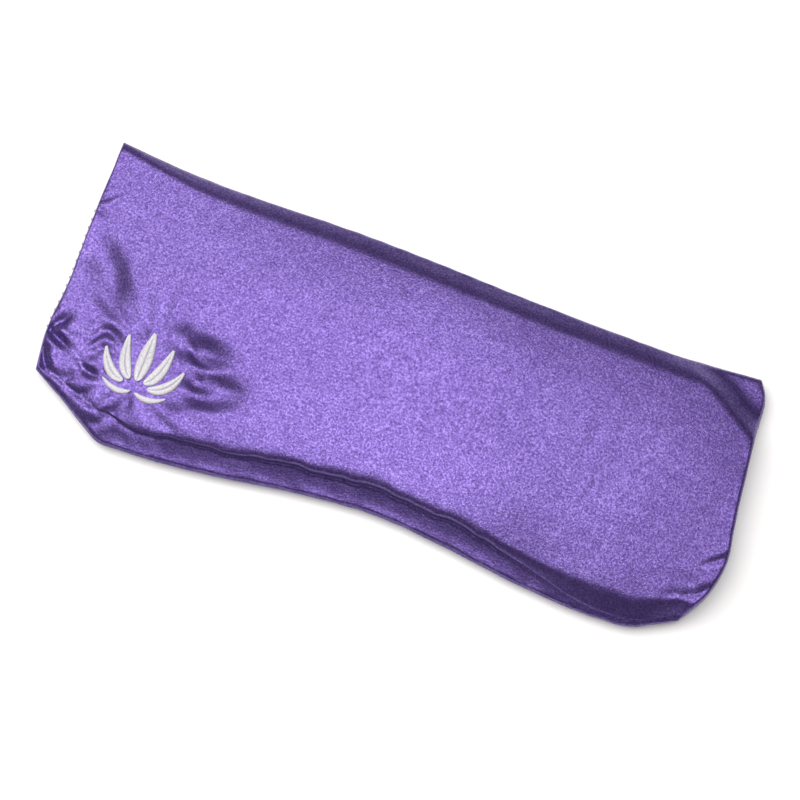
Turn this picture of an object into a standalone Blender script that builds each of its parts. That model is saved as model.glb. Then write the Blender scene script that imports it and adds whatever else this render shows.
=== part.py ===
"""Eye pillow: a satin cover sewn shut round a muslin bag of seeds, with an embroidered lotus.

Frame: +X runs along the pillow, away from the embroidered end. +Y runs towards the straight long
edge, and +Z up through the embroidered face. The origin is at the bottom centre of the box that
holds the pillow. The design is in millimetres, and MM turns it into Blender's metres.
"""

import bmesh
import bpy
import numpy as np

MM = 0.001

# Outline of the cover in plan, as its four sides. Each is a smooth line through these points.
TOP_SIDE = [(-114.2, 47.4), (-99.0, 46.1), (-85.0, 45.4), (-60.0, 45.5), (-30.0, 46.0), (0.0, 45.5),
            (25.0, 44.8), (52.0, 44.6), (75.0, 45.0), (90.0, 46.0), (106.0, 47.4)]
RIGHT_SIDE = [(106.0, 47.4), (108.6, 43.3), (110.0, 30.8), (113.0, 3.0), (115.0, -15.5), (112.5, -25.0),
              (106.9, -34.5)]
BOTTOM_SIDE = [(-112.0, -32.4), (-100.0, -38.9), (-89.0, -45.2), (-85.0, -47.2), (-80.0, -47.1),
               (-66.0, -46.4), (-50.0, -44.6), (-20.0, -39.9), (5.0, -37.6), (30.0, -39.1),
               (58.0, -42.1), (82.0, -42.8), (94.0, -41.4), (100.0, -38.4), (106.9, -34.5)]
LEFT_SIDE = [(-114.2, 47.4), (-114.0, 20.0), (-113.3, -5.0), (-113.9, -18.0), (-113.0, -26.5),
             (-112.0, -32.4)]
LENGTH = 230.0
WIDTH = 95.0

# Heights above the surface that the pillow lies on.
SEAM_HEIGHT = 5.0
LIP = 1.4             # from the seam's plane to the outside of either panel, at the edge
SHOULDER_RISE = 11.5  # from the lip to the top of the shoulder
DOME_RISE = 2.6       # what the middle of the face stands above the shoulder
SHOULDER_RUN = 11.0   # how far in from the lip the face takes to rise
BELLY_RUN = 10.0      # how far in from the edge the back panel takes to come down to rest
FLAT_LIPS = {"top": 0.5, "right": 1.5, "bottom": 7.5, "left": 1.5}  # empty flat rim at each side

# Fabric and thread.
SATIN = 0.5
MUSLIN = 0.4
BACKING = 0.3
SEAM_GAP = 0.25       # from the seam's plane to the turned-in satin on either side
HEM_WIDTH = 6.0
FOLD = [(0.55, 1.4), (0.15, 1.22), (0.0, 0.825), (0.15, 0.43), (0.55, SEAM_GAP)]  # (in from edge, off the plane)
THREAD_RADIUS = 0.15
SEAM_INSET = 1.1      # where the needle ran, in from the edge
SEAM_POINTS = 150
BAG_SEAM_POINTS = 110
BAG_SEAM_ENDS = 0.02  # share of a side left open at the bag's first corner
CLEARANCE = 0.3

# The opening that the bag went in by, on the left side, closed by hand.
OPENING = (0.14, 0.71)   # shares of the left side's length, from the bottom corner
CLOSING_STITCHES = 14
CLOSING_THROW = 1.2

# The bag of seeds inside.
BAG_INSETS = {"top": 7.5, "right": 7.5, "bottom": 9.5, "left": 7.5}
BAG_RIM = 3.0
BAG_DROP = 2.5        # what its face lies below the cover's face
FILL_DROP = 1.2       # what the seeds' top lies below the bag's
FILL_LIFT = 1.2       # what their underside lies above the bag's
FILL_INSET = 2.5      # how far inside the bag's opening-out they start
FILL_EDGE = 0.1       # half their thickness there

# Embroidered lotus: each petal is (name, base, bend, tip, width), about the motif's own centre.
MOTIF_CENTRE = (-79.6, -19.9)
PETALS = [
    ("center", (0.0, -5.6), (0.0, 2.0), (0.0, 10.4), 5.0),
    ("inner", (2.5, -5.6), (6.9, -2.6), (7.6, 7.4), 4.0),
    ("outer", (4.3, -6.9), (10.4, -6.6), (13.4, 1.6), 3.5),
    ("base", (0.9, -9.4), (6.0, -11.6), (10.8, -8.0), 1.9),
]
PETAL_LIFT = 0.7      # height of the stitches along the rib
PETAL_CREST = 0.7     # share of it that they lose towards the edge
BACKING_SIZE = (31.0, 23.0)
BACKING_DROP = 1.6   # below the outside of the face, to the top of the backing

FACE_CELLS = (30, 16)
BAG_CELLS = (24, 14)
PETAL_CELLS = (10, 4)
BACKING_CELLS = (8, 8)
CROWDING = 0.62       # how much closer the lines of a grid stand at its sides than on average
SIDE_SAMPLES = 400

MATERIALS = {  # colour, roughness, metallic
    "satin": ((0.27, 0.19, 0.56), 0.38, 0.25),
    "satin_thread": ((0.20, 0.13, 0.45), 0.55, 0.0),
    "embroidery_thread": ((0.86, 0.85, 0.83), 0.45, 0.0),
    "backing": ((0.82, 0.82, 0.80), 0.9, 0.0),
    "muslin": ((0.78, 0.72, 0.60), 0.9, 0.0),
    "seed": ((0.24, 0.12, 0.05), 0.45, 0.0),
}


# ---------------------------------------------------------------- outline

def smooth_line(points):
    """The smooth line through the points, as SIDE_SAMPLES points evenly spaced along it."""
    p = np.array(points, float)
    at = np.concatenate([[0.0], np.cumsum(np.linalg.norm(np.diff(p, axis=0), axis=1))])
    tangent = np.gradient(p, at, axis=0)
    fine = np.linspace(0.0, at[-1], 8 * SIDE_SAMPLES)
    k = np.clip(np.searchsorted(at, fine, side="right") - 1, 0, len(p) - 2)
    span = (at[k + 1] - at[k])[:, None]
    u = ((fine - at[k])[:, None]) / span
    line = ((2 * u**3 - 3 * u**2 + 1) * p[k] + (u**3 - 2 * u**2 + u) * span * tangent[k]
            + (3 * u**2 - 2 * u**3) * p[k + 1] + (u**3 - u**2) * span * tangent[k + 1])
    along = np.concatenate([[0.0], np.cumsum(np.linalg.norm(np.diff(line, axis=0), axis=1))])
    even = np.linspace(0.0, along[-1], SIDE_SAMPLES)
    return np.stack([np.interp(even, along, line[:, 0]), np.interp(even, along, line[:, 1])], axis=1)


def centred_sides():
    """The four sides, moved so that the middle of their box is at the origin."""
    sides = {"top": smooth_line(TOP_SIDE), "right": smooth_line(RIGHT_SIDE),
             "bottom": smooth_line(BOTTOM_SIDE), "left": smooth_line(LEFT_SIDE)}
    every = np.concatenate(list(sides.values()))
    middle = (every.min(axis=0) + every.max(axis=0)) / 2
    return {name: line - middle for name, line in sides.items()}


SIDES = centred_sides()


def on_side(name, share):
    """The point at a share of a side's length. Top and bottom run to +X, left and right run down."""
    line = SIDES[name]
    at = np.asarray(share) * (SIDE_SAMPLES - 1)
    index = np.arange(SIDE_SAMPLES)
    return np.stack([np.interp(at, index, line[:, 0]), np.interp(at, index, line[:, 1])], axis=-1)


def plan(s, t):
    """The plan point at share s of the length and t of the width: a patch between the four sides."""
    s, t = np.asarray(s, float), np.asarray(t, float)
    bottom, top = on_side("bottom", s), on_side("top", s)
    left, right = on_side("left", 1 - t), on_side("right", 1 - t)
    s, t = s[..., None], t[..., None]
    corners = ((1 - s) * (1 - t) * SIDES["bottom"][0] + s * (1 - t) * SIDES["bottom"][-1]
               + (1 - s) * t * SIDES["top"][0] + s * t * SIDES["top"][-1])
    return (1 - t) * bottom + t * top + (1 - s) * left + s * right - corners


def inset_plan(s, t, insets):
    """The plan point after the patch is drawn in by a distance at each side."""
    s, t = np.asarray(s, float), np.asarray(t, float)
    across = np.linalg.norm(on_side("top", s) - on_side("bottom", s), axis=-1)
    along = np.linalg.norm(on_side("right", 1 - t) - on_side("left", 1 - t), axis=-1)
    return plan(insets["left"] / along + (1 - (insets["left"] + insets["right"]) / along) * s,
                insets["bottom"] / across + (1 - (insets["bottom"] + insets["top"]) / across) * t)


def inward(s, t):
    """The inward direction at a point of the outline, lengthened at a corner so that both sides move."""
    step = 1e-3
    normals = []
    if t in (0.0, 1.0):
        ahead = plan(min(s + step, 1.0), t) - plan(max(s - step, 0.0), t)
        normals.append(np.array([-ahead[1], ahead[0]]) * (1 if t == 0.0 else -1))
    if s in (0.0, 1.0):
        ahead = plan(s, min(t + step, 1.0)) - plan(s, max(t - step, 0.0))
        normals.append(np.array([ahead[1], -ahead[0]]) * (1 if s == 0.0 else -1))
    normals = [n / np.linalg.norm(n) for n in normals]
    total = sum(normals)
    return total / (1 + normals[0] @ normals[1]) if len(normals) == 2 else total


def edge_point(s, t, distance):
    """The plan point that far in from the outline at a point of it."""
    return plan(s, t) + distance * inward(s, t)


# ---------------------------------------------------------------- heights

def distance_to_side(name, xy):
    points = SIDES[name][::4]
    return np.sqrt(((xy[..., None, :] - points) ** 2).sum(axis=-1).min(axis=-1))


def rounded(u):
    """A quarter of a sine wave: 0 at 0, 1 from 1 on."""
    return np.sin(np.pi / 2 * np.clip(u, 0.0, 1.0))


def rise(xy, starts, run):
    """0 at the sides and 1 inside, climbing over a run that starts at a distance from each side."""
    shares = [rounded((distance_to_side(name, xy) - start) / run) for name, start in starts.items()]
    return np.prod(shares, axis=0)


def dome(xy):
    """1 at the middle of the pillow, 0 at its sides."""
    across = 1 - (2 * xy[..., 1] / WIDTH) ** 2
    along = 1 - (2 * xy[..., 0] / LENGTH) ** 2
    return np.clip(along, 0.0, 1.0) * np.clip(across, 0.0, 1.0)


def face_height(xy):
    """The outside of the front panel."""
    up = rise(xy, FLAT_LIPS, SHOULDER_RUN)
    return SEAM_HEIGHT + LIP + up * (SHOULDER_RISE + DOME_RISE * dome(xy))


def belly_height(xy):
    """The outside of the back panel, 0 where it rests."""
    return (SEAM_HEIGHT - LIP) * (1 - rise(xy, {side: 0.5 for side in FLAT_LIPS}, BELLY_RUN))


def bag_starts(more=0.0):
    return {side: inset + BAG_RIM + more for side, inset in BAG_INSETS.items()}


def bag_face_height(xy, half_rim=SEAM_GAP + MUSLIN, drop=0.0, more=0.0):
    """The outside of the bag's upper panel, or of what lies drop below it and starts more inside it."""
    rim = SEAM_HEIGHT + half_rim
    top = SEAM_HEIGHT + LIP + SHOULDER_RISE + DOME_RISE * dome(xy) - BAG_DROP - drop
    return rim + rise(xy, bag_starts(more), SHOULDER_RUN) * (top - rim)


def bag_belly_height(xy, half_rim=SEAM_GAP + MUSLIN, lift=0.0, more=0.0):
    """The outside of the bag's lower panel, or of what lies lift above it."""
    rim = SEAM_HEIGHT - half_rim
    rest = SATIN + CLEARANCE + lift
    return rim - rise(xy, bag_starts(more), BELLY_RUN) * (rim - rest)


# ---------------------------------------------------------------- Blender helpers

def start_scene():
    for obj in list(bpy.data.objects):
        bpy.data.objects.remove(obj, do_unlink=True)
    collection = bpy.data.collections.new("eye_pillow")
    bpy.context.scene.collection.children.link(collection)
    return collection


def make_materials():
    made = {}
    for name, (colour, roughness, metallic) in MATERIALS.items():
        material = bpy.data.materials.new(name)
        material.use_nodes = True
        shader = material.node_tree.nodes["Principled BSDF"]
        shader.inputs["Base Color"].default_value = (*colour, 1.0)
        shader.inputs["Roughness"].default_value = roughness
        shader.inputs["Metallic"].default_value = metallic
        made[name] = material
    return made


COLLECTION = start_scene()
LOOKS = make_materials()


def add_object(name, data, look):
    obj = bpy.data.objects.new(name, data)
    obj.data.materials.append(LOOKS[look])
    COLLECTION.objects.link(obj)
    return obj


def object_from(bm, name, look):
    bmesh.ops.recalc_face_normals(bm, faces=bm.faces)
    mesh = bpy.data.meshes.new(name)
    bm.to_mesh(mesh)
    bm.free()
    mesh.shade_smooth()
    return add_object(name, mesh, look)


def crowded(share):
    """A share from 0 to 1, moved so that even steps are short near both ends."""
    return float(round(share - CROWDING * np.sin(2 * np.pi * share) / (2 * np.pi), 9))


def unit_grid(cells, spread=crowded):
    """A grid of cells over the unit square, with each vertex's place in it."""
    bm = bmesh.new()
    bmesh.ops.create_grid(bm, x_segments=cells[0], y_segments=cells[1], size=0.5)
    for v in bm.verts:
        v.co.x, v.co.y = spread(round(v.co.x + 0.5, 6)), spread(round(v.co.y + 0.5, 6))
    return bm, {v: place_in(v) for v in bm.verts}


def place_in(vert):
    """Where a vertex of an unshaped grid stands in the unit square."""
    return float(round(vert.co.x, 6)), float(round(vert.co.y, 6))


def put(vert, xy, z):
    vert.co = (xy[0] * MM, xy[1] * MM, z * MM)


def thicken(obj, thickness, offset):
    wall = obj.modifiers.new("cloth", "SOLIDIFY")
    wall.thickness = thickness * MM
    wall.offset = offset
    wall.use_quality_normals = True
    return obj


def add_thread(name, path, look):
    """A round thread along a list of plan points, in the seam's plane."""
    curve = bpy.data.curves.new(name, "CURVE")
    curve.dimensions = "3D"
    curve.bevel_depth = THREAD_RADIUS * MM
    curve.bevel_resolution = 1
    curve.use_fill_caps = True
    spline = curve.splines.new("POLY")
    spline.points.add(len(path) - 1)
    for point, (x, y) in zip(spline.points, path):
        point.co = (x * MM, y * MM, SEAM_HEIGHT * MM, 1.0)
    return add_object(name, curve, look)


# ---------------------------------------------------------------- cover

def cover_panel(name, height, side):
    """One satin panel: its face, the fold at its edge and the hem turned in. side is +1 for the front."""
    bm, places = unit_grid(FACE_CELLS, spread=float)
    rim = [e for e in bm.edges if e.is_boundary]
    edge = {v for e in rim for v in e.verts}
    for v, (s, t) in places.items():
        if v in edge:
            places[v] = crowded(s), crowded(t)
            put(v, edge_point(*places[v], FOLD[0][0]), SEAM_HEIGHT + side * FOLD[0][1])
        else:  # the lines next to the edge follow the inside of the flat lip
            inner = [crowded((share * n - 1) / (n - 2)) for share, n in zip((s, t), FACE_CELLS)]
            xy = inset_plan(*inner, FLAT_LIPS)
            on_lip = side > 0 and {0.0, 1.0} & set(inner)
            put(v, xy, SEAM_HEIGHT + LIP if on_lip else height(xy))
    hem = {side_name: HEM_WIDTH for side_name in SIDES}
    for inset, off_plane in [*FOLD[1:], (None, SEAM_GAP)]:
        before = {v: places[v] for v in edge}
        made = bmesh.ops.extrude_edge_only(bm, edges=rim)["geom"]
        edge = {g for g in made if isinstance(g, bmesh.types.BMVert)}
        rim = [g for g in made if isinstance(g, bmesh.types.BMEdge) and g.is_boundary]
        for v in edge:
            old = next(e.other_vert(v) for e in v.link_edges if e.other_vert(v) in before)
            s, t = places[v] = before[old]
            xy = inset_plan(s, t, hem) if inset is None else edge_point(s, t, inset)
            put(v, xy, SEAM_HEIGHT + side * off_plane)
    panel = object_from(bm, name, "satin")
    if panel.data.polygons[0].normal.z * side < 0:
        panel.data.flip_normals()
    return thicken(panel, SATIN, -1.0)


def way_round(turn):
    """The place in the unit square at a point of its outline.

    The way round is anticlockwise from the bottom left corner, and each side counts 1.
    """
    side, share = divmod(turn % 4.0, 1.0)
    return [(share, 0.0), (1.0, share), (1 - share, 1.0), (0.0, 1 - share)][int(side)]


def outline_path(first, last, count, inset):
    """Points just inside the outline, between two points of the way round."""
    return [edge_point(*way_round(turn), inset) for turn in np.linspace(first, last, count)]


def seam_thread():
    """The machine seam, from the top of the opening round to the foot of it."""
    top, foot = 4.0 - OPENING[1], 4.0 - OPENING[0]
    path = outline_path(foot, top + 4.0, SEAM_POINTS, SEAM_INSET)
    return add_thread("cover_seam_thread", path[1:-1], "satin_thread")


def closing_thread():
    """The hand stitches that close the opening, to and fro between the two folds."""
    turns = np.linspace(4.0 - OPENING[1], 4.0 - OPENING[0], 2 * CLOSING_STITCHES + 1)[1:-1]
    path = []
    for number, turn in enumerate(turns):
        inset = SEAM_INSET + (CLOSING_THROW if number % 2 else 0.0)
        path += outline_path(turn, turn, 1, inset)
    return add_thread("closing_thread", path, "satin_thread")


# ---------------------------------------------------------------- bag and seeds

def bag_panel(name, height, side):
    bm, places = unit_grid(BAG_CELLS)
    for v, (s, t) in places.items():
        xy = inset_plan(s, t, BAG_INSETS)
        put(v, xy, height(xy))
    panel = object_from(bm, name, "muslin")
    if panel.data.polygons[0].normal.z * side < 0:
        panel.data.flip_normals()
    return thicken(panel, MUSLIN, -1.0)


def bag_thread():
    """The seam round the bag, between the rims of its two panels."""
    insets = {side: inset + BAG_RIM / 2 for side, inset in BAG_INSETS.items()}
    turns = np.linspace(BAG_SEAM_ENDS, 4.0 - BAG_SEAM_ENDS, BAG_SEAM_POINTS)
    return add_thread("inner_bag_thread", [inset_plan(*way_round(turn), insets) for turn in turns], "muslin")


def seed_fill():
    """The seeds, as the one body that they fill the bag with."""
    insets = bag_starts(FILL_INSET)
    bm, places = unit_grid(BAG_CELLS)
    top = {v: inset_plan(s, t, insets) for v, (s, t) in places.items()}
    faces = list(bm.faces)
    made = bmesh.ops.extrude_face_region(bm, geom=faces)["geom"]
    bottom = [g for g in made if isinstance(g, bmesh.types.BMVert)]
    foot = {v: inset_plan(*place_in(v), insets) for v in bottom}
    for v, xy in top.items():
        put(v, xy, bag_face_height(xy, FILL_EDGE, FILL_DROP, FILL_INSET))
    for v, xy in foot.items():
        put(v, xy, bag_belly_height(xy, FILL_EDGE, FILL_LIFT, FILL_INSET))
    return object_from(bm, "seed_fill", "seed")


# ---------------------------------------------------------------- embroidery

def petal_point(base, bend, tip, width, mirror, s, t):
    """A plan point of a petal: s along its rib from the base, t across it from -1 to 1."""
    base, bend, tip = (np.array(p) * (mirror, 1.0) for p in (base, bend, tip))
    rib = (1 - s) ** 2 * base + 2 * s * (1 - s) * bend + s * s * tip
    along = 2 * (1 - s) * (bend - base) + 2 * s * (tip - bend)
    across = np.array([-along[1], along[0]]) / np.linalg.norm(along)
    half = width / 2 * np.sin(np.pi * (0.04 + 0.92 * s) ** 0.85) ** 0.75
    return np.array(MOTIF_CENTRE) + rib + across * half * t


def petal(name, base, bend, tip, width, mirror=1.0):
    """One petal of satin stitches: a pad, highest along its rib, lying on the face."""
    bm, top = unit_grid(PETAL_CELLS, spread=float)
    made = bmesh.ops.extrude_face_region(bm, geom=list(bm.faces))["geom"]
    under = {v: place_in(v) for v in made if isinstance(v, bmesh.types.BMVert)}
    for verts, lift in ((top, PETAL_LIFT), (under, 0.0)):
        for v, (s, t) in verts.items():
            across = 2 * t - 1
            xy = petal_point(base, bend, tip, width, mirror, s, across)
            put(v, xy, face_height(xy) + CLEARANCE + lift * (1 - PETAL_CREST * across**2))
    return object_from(bm, f"embroidery_petal_{name}", "embroidery_thread")


def embroidery():
    for name, base, bend, tip, width in PETALS:
        if base[0] == 0.0:
            petal(name, base, bend, tip, width)
            continue
        petal(f"{name}_right", base, bend, tip, width)
        petal(f"{name}_left", base, bend, tip, width, mirror=-1.0)


def embroidery_backing():
    """The stabiliser behind the stitches, between the front panel and the bag."""
    bm, places = unit_grid(BACKING_CELLS, spread=float)
    for v, (s, t) in places.items():
        x, y = 2 * s - 1, 2 * t - 1
        disc = np.array([x * np.sqrt(1 - y * y / 2), y * np.sqrt(1 - x * x / 2)])
        xy = np.array(MOTIF_CENTRE) + disc * np.array(BACKING_SIZE) / 2
        put(v, xy, face_height(xy) - BACKING_DROP)
    sheet = object_from(bm, "embroidery_backing", "backing")
    if sheet.data.polygons[0].normal.z < 0:
        sheet.data.flip_normals()
    return thicken(sheet, BACKING, -1.0)


def main():
    cover_panel("cover_front", face_height, 1)
    cover_panel("cover_back", belly_height, -1)
    seam_thread()
    closing_thread()
    bag_panel("inner_bag_front", bag_face_height, 1)
    bag_panel("inner_bag_back", bag_belly_height, -1)
    bag_thread()
    seed_fill()
    embroidery()
    embroidery_backing()


main()
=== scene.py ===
"""Looks for the eye pillow: satin cover, embroidered lotus, seams, inner bag and seeds.

Lengths are in millimetres unless a line says otherwise, and MM turns them into metres. In the frame, x
runs from the embroidered end to the far end, and y from the nose edge to the straight edge.
"""

import math

import bpy
import numpy as np
from mathutils import Matrix, Vector
from mathutils.bvhtree import BVHTree

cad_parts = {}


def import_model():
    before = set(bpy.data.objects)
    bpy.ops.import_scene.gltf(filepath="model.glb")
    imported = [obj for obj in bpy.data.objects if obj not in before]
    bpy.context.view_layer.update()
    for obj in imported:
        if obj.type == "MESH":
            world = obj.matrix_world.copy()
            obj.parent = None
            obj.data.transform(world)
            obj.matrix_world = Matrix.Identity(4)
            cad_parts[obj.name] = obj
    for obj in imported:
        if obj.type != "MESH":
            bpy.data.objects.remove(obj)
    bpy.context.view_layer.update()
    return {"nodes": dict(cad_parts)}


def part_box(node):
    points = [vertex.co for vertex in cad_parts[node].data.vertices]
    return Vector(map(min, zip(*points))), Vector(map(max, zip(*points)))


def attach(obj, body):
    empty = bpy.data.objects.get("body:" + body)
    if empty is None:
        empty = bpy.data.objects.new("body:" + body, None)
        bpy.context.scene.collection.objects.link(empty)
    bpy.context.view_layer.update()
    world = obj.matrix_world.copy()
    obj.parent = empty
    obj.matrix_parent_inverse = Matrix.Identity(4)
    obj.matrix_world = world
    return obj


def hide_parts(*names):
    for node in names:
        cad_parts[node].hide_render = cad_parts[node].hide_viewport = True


MM = 0.001
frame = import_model()
NODES = frame["nodes"]
RNG = np.random.default_rng(7)


def plan_centre(node):
    """The middle of a CAD node's box, seen from above."""
    low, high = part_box(node)
    return np.array(low + high)[:2] / 2 / MM


SEAM_Z = (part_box("cover_front")[0].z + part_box("cover_back")[1].z) / 2 / MM
INNER_PETALS = [plan_centre(f"embroidery_petal_inner_{side}") for side in ("left", "right")]
MOTIF_DROP = 0.4                           # the motif's centre is this far below the inner petals' middle
MOTIF = sum(INNER_PETALS) / 2 - np.array([0.0, MOTIF_DROP])
PLAN_LENGTH, PLAN_WIDTH = 226.0, 88.0      # rough size of the cover in plan


# ------------------------------------------------------------------ outline and patch

RIM_BAND = 1.3        # the CAD panel's edges this near the seam's plane belong to its outer fold
RAYS = 1440           # directions in which the outer fold is looked for
CLOSEST = 0.3         # least distance between two points of the outline
SAMPLES = 600         # points along each side
CORNER_WAYS = {"bl": (-1, -0.45), "br": (1, -0.8), "tr": (1, 1.2), "tl": (-1, 1)}    # which way each points


def outline_ring():
    """The outer fold of the front panel in plan, anticlockwise, from the CAD node."""
    mesh = NODES["cover_front"].data
    co = np.empty(len(mesh.vertices) * 3)
    mesh.vertices.foreach_get("co", co)
    co = co.reshape(-1, 3) / MM
    ends = np.empty(len(mesh.edges) * 2, int)
    mesh.edges.foreach_get("vertices", ends)
    a, b = co[ends.reshape(-1, 2)].transpose(1, 0, 2)
    near = (a[:, 2] < SEAM_Z + RIM_BAND) & (b[:, 2] < SEAM_Z + RIM_BAND)
    a, b = a[near, :2], b[near, :2]
    angles = np.linspace(-np.pi, np.pi, RAYS, endpoint=False)
    ray = np.stack([np.cos(angles), np.sin(angles)], 1)
    edge = b - a
    cross = ray[:, None, 0] * edge[None, :, 1] - ray[:, None, 1] * edge[None, :, 0]
    cross = np.where(cross == 0, 1e-12, cross)
    far = (a[:, 0] * edge[:, 1] - a[:, 1] * edge[:, 0])[None] / cross
    share = (a[:, 0] * ray[:, None, 1] - a[:, 1] * ray[:, None, 0]) / cross
    far = np.where((share >= 0) & (share <= 1) & (far > 0), far, 0)
    best = far.argmax(axis=1)
    used = np.concatenate([a[best], b[best]])
    used = used[np.argsort(np.arctan2(used[:, 1], used[:, 0]))]
    return used[np.linalg.norm(used - np.roll(used, 1, axis=0), axis=1) > CLOSEST]


def lengths_along(line):
    """The distance along a line at each of its points."""
    return np.concatenate([[0.0], np.cumsum(np.linalg.norm(np.diff(line, axis=0), axis=1))])


def smooth_side(points):
    """A smooth line through the points, as points evenly spaced along it."""
    at = lengths_along(points)
    tangent = np.gradient(points, at, axis=0)
    fine = np.linspace(0.0, at[-1], 6 * SAMPLES)
    k = np.clip(np.searchsorted(at, fine, side="right") - 1, 0, len(points) - 2)
    span = (at[k + 1] - at[k])[:, None]
    u = (fine - at[k])[:, None] / span
    line = ((2 * u**3 - 3 * u**2 + 1) * points[k] + (u**3 - 2 * u**2 + u) * span * tangent[k]
            + (3 * u**2 - 2 * u**3) * points[k + 1] + (u**3 - u**2) * span * tangent[k + 1])
    along = lengths_along(line)
    even = np.linspace(0.0, along[-1], SAMPLES)
    return np.stack([np.interp(even, along, line[:, 0]), np.interp(even, along, line[:, 1])], 1)


def four_sides():
    """The outline as bottom and top (running to +X) and left and right (running to +Y)."""
    ring = outline_ring()
    corner = {name: int((ring @ np.array(way)).argmax()) for name, way in CORNER_WAYS.items()}

    def between(first, last):
        count = (corner[last] - corner[first]) % len(ring)
        return ring[(corner[first] + np.arange(count + 1)) % len(ring)]

    return {"bottom": smooth_side(between("bl", "br")),
            "right": smooth_side(between("br", "tr")),
            "top": smooth_side(between("tr", "tl"))[::-1],
            "left": smooth_side(between("tl", "bl"))[::-1]}


SIDES = four_sides()
LOWER_LEFT, UPPER_LEFT = SIDES["bottom"][0], SIDES["top"][0]
LOWER_RIGHT, UPPER_RIGHT = SIDES["bottom"][-1], SIDES["top"][-1]


def on_side(name, share):
    """The plan point at a share of that side's length."""
    at = np.asarray(share) * (SAMPLES - 1)
    line = SIDES[name]
    index = np.arange(SAMPLES)
    return np.stack([np.interp(at, index, line[:, 0]), np.interp(at, index, line[:, 1])], -1)


def plan(s, t):
    """The plan point at share s of the length and t of the width."""
    bottom, top = on_side("bottom", s), on_side("top", s)
    left, right = on_side("left", t), on_side("right", t)
    s, t = s[..., None], t[..., None]
    corners = ((1 - s) * (1 - t) * LOWER_LEFT + s * (1 - t) * LOWER_RIGHT
               + (1 - s) * t * UPPER_LEFT + s * t * UPPER_RIGHT)
    return (1 - t) * bottom + t * top + (1 - s) * left + s * right - corners


def side_distance(name, xy):
    """How far plan points are from one side of the outline."""
    points = SIDES[name][::3]
    flat = xy.reshape(-1, 2)
    out = np.empty(len(flat))
    batch = 4000
    for i in range(0, len(flat), batch):
        out[i:i + batch] = np.sqrt(((flat[i:i + batch, None] - points) ** 2).sum(-1).min(-1))
    return out.reshape(xy.shape[:-1])


def edge_distance(xy):
    """How far plan points are from the nearest side."""
    return np.min([side_distance(name, xy) for name in SIDES], axis=0)


# ------------------------------------------------------------------ curves

def rising(u):
    """0 to 1, steepest at its foot and level at its top."""
    return np.sin(np.pi / 2 * np.clip(u, 0, 1))


def shouldered(u):
    """A straight climb from 0 to 1 that rounds off over its last part."""
    u = np.clip(u, 0, 1)
    return np.where(u < 0.6, 1.25 * u, 1 - 1.5625 * (1 - u) ** 2)


def smooth(u):
    """0 to 1, level at both ends."""
    u = np.clip(u, 0, 1)
    return u * u * (3 - 2 * u)


def after(x, start, end):
    """0 up to start and 1 from end on."""
    return smooth((x - start) / (end - start))


def before(x, start, end):
    """1 up to start and 0 from end on."""
    return smooth((end - x) / (end - start))


def hill(distance, width):
    """1 at no distance, falling to 0 over a few widths."""
    return np.exp(-(distance / width) ** 2)


def wave_noise(xy, length, seed, octaves=2):
    """Smooth noise from -1 to 1 over the plan, with that wavelength."""
    rng = np.random.default_rng(seed)
    total = np.zeros(xy.shape[:-1])
    waves = 7
    for octave in range(octaves):
        for _ in range(waves):
            way = rng.uniform(0, 2 * np.pi)
            k = 2 * np.pi / (length / 2**octave) * rng.uniform(0.6, 1.3)
            phase = k * (xy[..., 0] * np.cos(way) + xy[..., 1] * np.sin(way)) + rng.uniform(0, 6.3)
            total += np.sin(phase) / 2**octave
    return total / waves


def eased(x, stops, blur=6.0):
    """A line through the (x, value) stops with its corners rounded off."""
    at = np.linspace(-150, 150, 601)
    value = np.interp(at, *zip(*stops))
    reach = np.arange(-60, 61) * (at[1] - at[0])
    kernel = hill(reach, blur * math.sqrt(2))
    value = np.convolve(np.pad(value, len(kernel) // 2, mode="edge"), kernel / kernel.sum(), mode="valid")
    return np.interp(x, at, value)


def beside(xy, points):
    """Plan points against a line of points.

    Gives the distance from the line, the share of its length at the nearest place, the distance to its
    left, and how far past its ends a point lies.
    """
    lengths = np.linalg.norm(np.diff(points, axis=0), axis=1)
    at = np.concatenate([[0], np.cumsum(lengths)])
    best = np.full(xy.shape[:-1], np.inf)
    share, side, beyond = np.zeros((3, *xy.shape[:-1]))
    for k, length in enumerate(lengths):
        start, way = points[k], points[k + 1] - points[k]
        u = np.clip(((xy - start) @ way) / (way @ way), 0, 1)
        gap = np.linalg.norm(xy - start - u[..., None] * way, axis=-1)
        left = ((xy - start) @ np.array([-way[1], way[0]])) / length
        outer = k in (0, len(lengths) - 1)
        past = np.sqrt(np.maximum(gap**2 - left**2, 0)) * outer
        nearer = gap < best
        share = np.where(nearer, (at[k] + u * length) / at[-1], share)
        side = np.where(nearer, left, side)
        beyond = np.where(nearer, past, beyond)
        best = np.minimum(best, gap)
    return best, share, side, beyond


# ------------------------------------------------------------------ shape of the face

# How the face changes along its length, as (x, value) stops.
# Height of its middle over the seam.
FULLNESS = [(-118, 2.6), (-104, 4.4), (-88, 7.0), (-70, 9.8), (-45, 12.8), (-10, 14.2), (30, 14.0),
            (60, 12.8), (84, 11.0), (104, 9.1), (118, 7.8)]
# From the nose edge in to the long crease.
CREASE_GAP = [(-112, 2.2), (-106, 2.8), (-102, 3.2), (-97.5, 3.8), (-92.5, 5.0), (-88, 5.8), (-84.5, 8.8),
              (-82, 8.8), (-79.8, 7.2), (-77.5, 6.3), (-74, 6.8), (-62, 7.0), (-46, 6.9), (0, 6.8),
              (30, 6.8), (40, 6.5), (50, 5.9), (60, 4.6), (70, 2.9), (80, 2.0), (112, 1.6)]
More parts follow.
